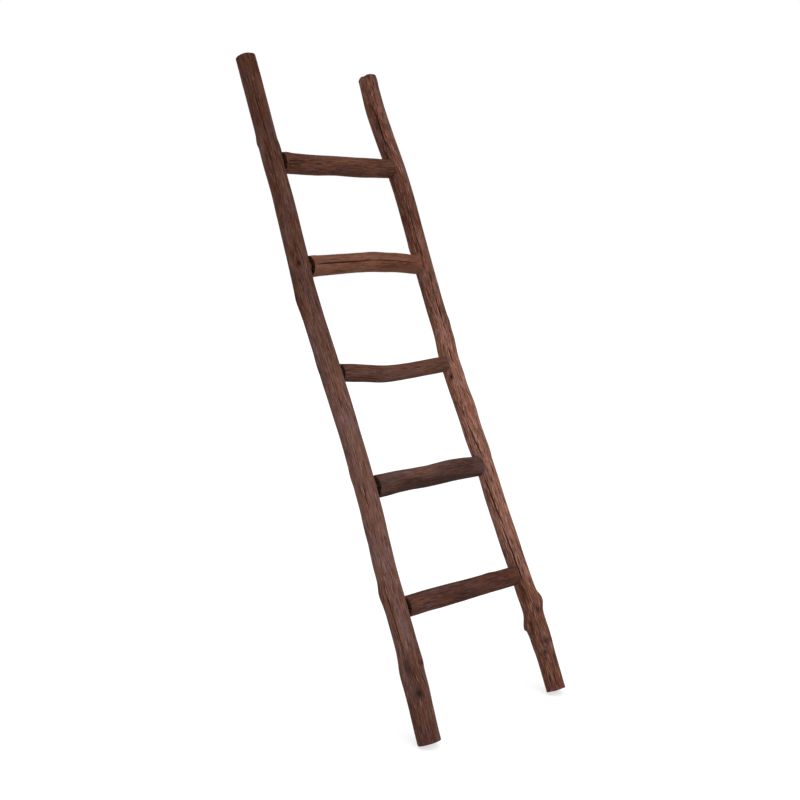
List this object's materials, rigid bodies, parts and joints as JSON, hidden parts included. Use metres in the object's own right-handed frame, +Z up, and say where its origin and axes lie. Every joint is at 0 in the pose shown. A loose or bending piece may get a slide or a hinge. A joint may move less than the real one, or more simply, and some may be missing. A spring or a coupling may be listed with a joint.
{
  "type": "decorative ladder",
  "caption": "Leaning decorative ladder of debarked natural poles stained dark brown, with round pole rungs tenoned into the rails, for hanging throws and towels",
  "frame": {"origin": "On the floor, under the centre of the leaning ladder's bounding box", "axes": "+X along the rungs from the left rail to the right one, +Y to the back, towards the wall it leans on, +Z up"},
  "size_m": [0.5152, 0.745, 1.6234],
  "materials": {
    "rail_wood": "debarked natural pole, dark brown stain, satin to matt",
    "rung_wood": "debarked natural pole, dark brown stain, satin to matt",
    "screw_steel": "zinc-plated wood screw"
  },
  "bodies": {
    "root": {"left_rail": "rail_wood", "right_rail": "rail_wood", "rung_1": "rung_wood", "rung_2": "rung_wood", "rung_3": "rung_wood", "rung_4": "rung_wood", "rung_5": "rung_wood", "left_rail_screws": "screw_steel", "right_rail_screws": "screw_steel"}
  },
  "joints": []
}
